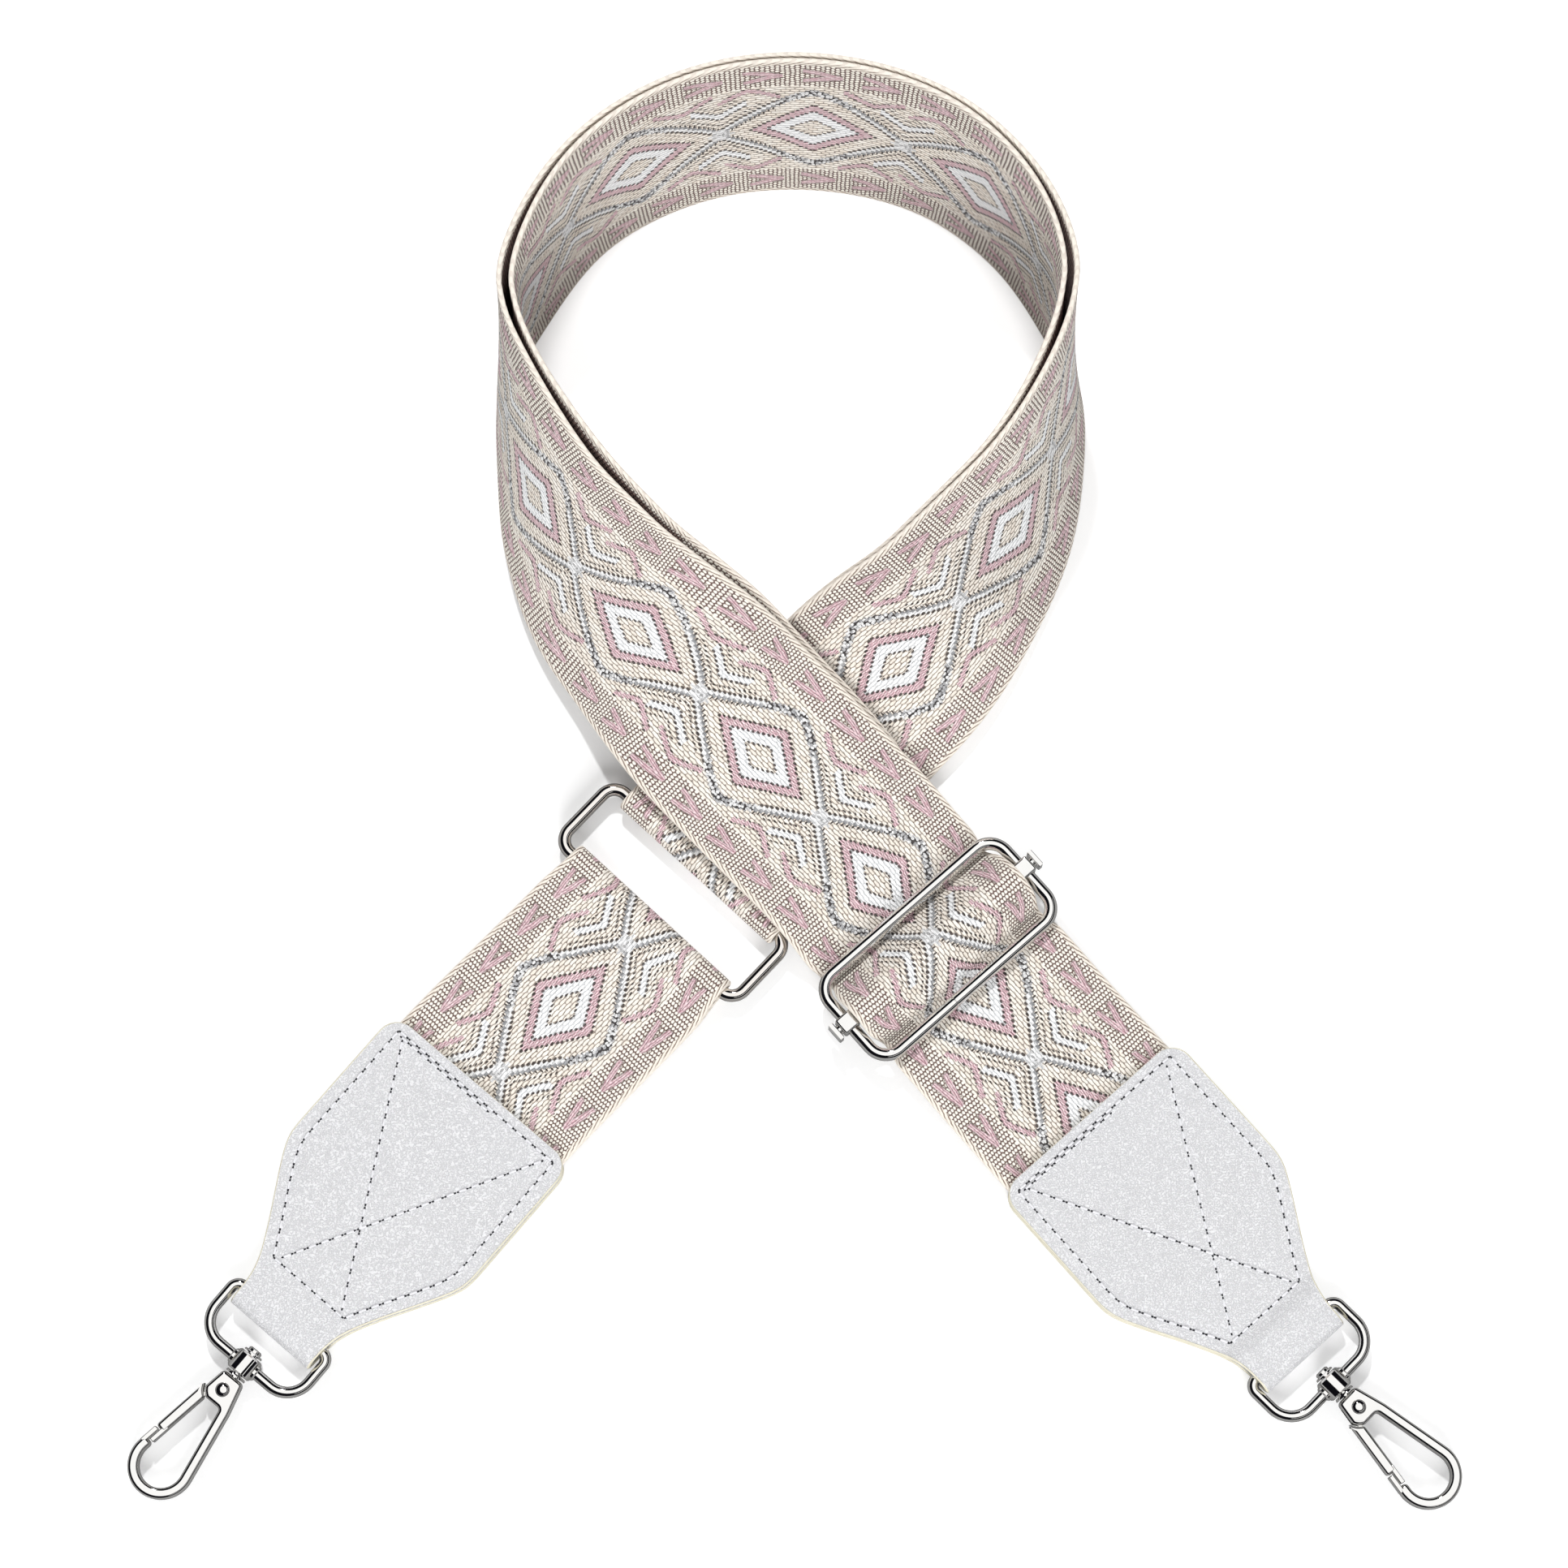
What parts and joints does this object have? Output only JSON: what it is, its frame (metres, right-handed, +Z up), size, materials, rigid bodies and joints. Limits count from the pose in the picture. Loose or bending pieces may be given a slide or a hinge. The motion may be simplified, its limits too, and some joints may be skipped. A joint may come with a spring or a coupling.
{
  "type": "detachable bag strap",
  "caption": "Wide woven bag strap laid in a crossed loop, with a rectangular ring, a three-bar slider, and a leather tab with a swivel clasp at each end.",
  "frame": {"origin": "centre of the bounding box on the plane that the strap lies on", "axes": "+Z up from that plane, +Y from the clasps towards the loop, +X to the right as seen from above"},
  "size_m": [0.2996, 0.331, 0.0502],
  "materials": {
    "jacquard_webbing": "jacquard weave in beige, dusty pink, white and silver",
    "white_leather": "fine pebble grain, satin",
    "grey_thread": "waxed sewing thread",
    "bright_plated_metal": "polished nickel plate"
  },
  "bodies": {
    "strap": {"long_webbing": "jacquard_webbing", "long_webbing_end": "jacquard_webbing", "right_tab_leather": "white_leather", "right_tab_seam_thread": "grey_thread", "right_tab_cross_thread": "grey_thread"},
    "ring": {"rectangle_ring": "bright_plated_metal"},
    "left_end": {"short_webbing": "jacquard_webbing", "left_tab_leather": "white_leather", "left_tab_seam_thread": "grey_thread", "left_tab_cross_thread": "grey_thread"},
    "slider_bar": {"slider_crossbar": "bright_plated_metal", "webbing_through_slider": "jacquard_webbing", "webbing_anchor_fold": "jacquard_webbing"},
    "slider_frame_body": {"slider_frame": "bright_plated_metal"},
    "left_eye": {"left_swivel_eye": "bright_plated_metal"},
    "left_hook": {"left_swivel_post": "bright_plated_metal", "left_hook_body": "bright_plated_metal", "left_gate_pin": "bright_plated_metal", "left_gate_spring": "bright_plated_metal"},
    "left_gate": {"left_gate": "bright_plated_metal"},
    "right_eye": {"right_swivel_eye": "bright_plated_metal"},
    "right_hook": {"right_swivel_post": "bright_plated_metal", "right_hook_body": "bright_plated_metal", "right_gate_pin": "bright_plated_metal", "right_gate_spring": "bright_plated_metal"},
    "right_gate": {"right_gate": "bright_plated_metal"}
  },
  "joints": [
    {"name": "ring_turn", "type": "hinge", "parent": "strap", "child": "ring", "pos_m": [-0.0211, -0.01793, 0.0033], "axis": [-0.7314, 0.682, 0], "range_deg": [-90, 52]},
    {"name": "left_end_turn", "type": "hinge", "parent": "ring", "child": "left_end", "pos_m": [-0.03399, -0.03175, 0.0033], "axis": [0.7314, -0.682, 0], "range_deg": [-90, 90]},
    {"name": "slider_travel", "type": "slide", "parent": "strap", "child": "slider_bar", "axis": [0.6607, -0.7507, 0], "range_m": [-0.003, 0.03], "deforming": ["webbing_through_slider", "webbing_anchor_fold"]},
    {"name": "crossbar_play", "type": "slide", "parent": "slider_bar", "child": "slider_frame_body", "axis": [0.6607, -0.7507, 0], "range_m": [-0.001, 0.001]},
    {"name": "right_eye_turn", "type": "hinge", "parent": "strap", "child": "right_eye", "pos_m": [0.11244, -0.12825, 0.00334], "axis": [-0.7059, -0.7083, 0], "range_deg": [-100, 100]},
    {"name": "right_hook_swivel", "type": "hinge", "parent": "right_eye", "child": "right_hook", "pos_m": [0.12179, -0.13757, 0.00334], "axis": [0.7083, -0.7059, 0], "continuous": true},
    {"name": "right_gate_turn", "type": "hinge", "parent": "right_hook", "child": "right_gate", "pos_m": [0.12704, -0.14279, 0.00334], "axis": [0, 0, 1], "range_deg": [0, 22], "stiffness_Nm_per_rad": 0.02, "springref_deg": -20.05, "deforming": ["right_gate_spring"]},
    {"name": "left_eye_turn", "type": "hinge", "parent": "left_end", "child": "left_eye", "pos_m": [-0.11579, -0.12301, 0.00334], "axis": [-0.7705, 0.6374, 0], "range_deg": [-100, 100]},
    {"name": "left_hook_swivel", "type": "hinge", "parent": "left_eye", "child": "left_hook", "pos_m": [-0.1242, -0.13319, 0.00334], "axis": [-0.6239, -0.7815, 0], "continuous": true},
    {"name": "left_gate_turn", "type": "hinge", "parent": "left_hook", "child": "left_gate", "pos_m": [-0.12882, -0.13897, 0.00334], "axis": [0, 0, 1], "range_deg": [0, 22], "stiffness_Nm_per_rad": 0.02, "springref_deg": -20.05, "deforming": ["left_gate_spring"]}
  ]
}
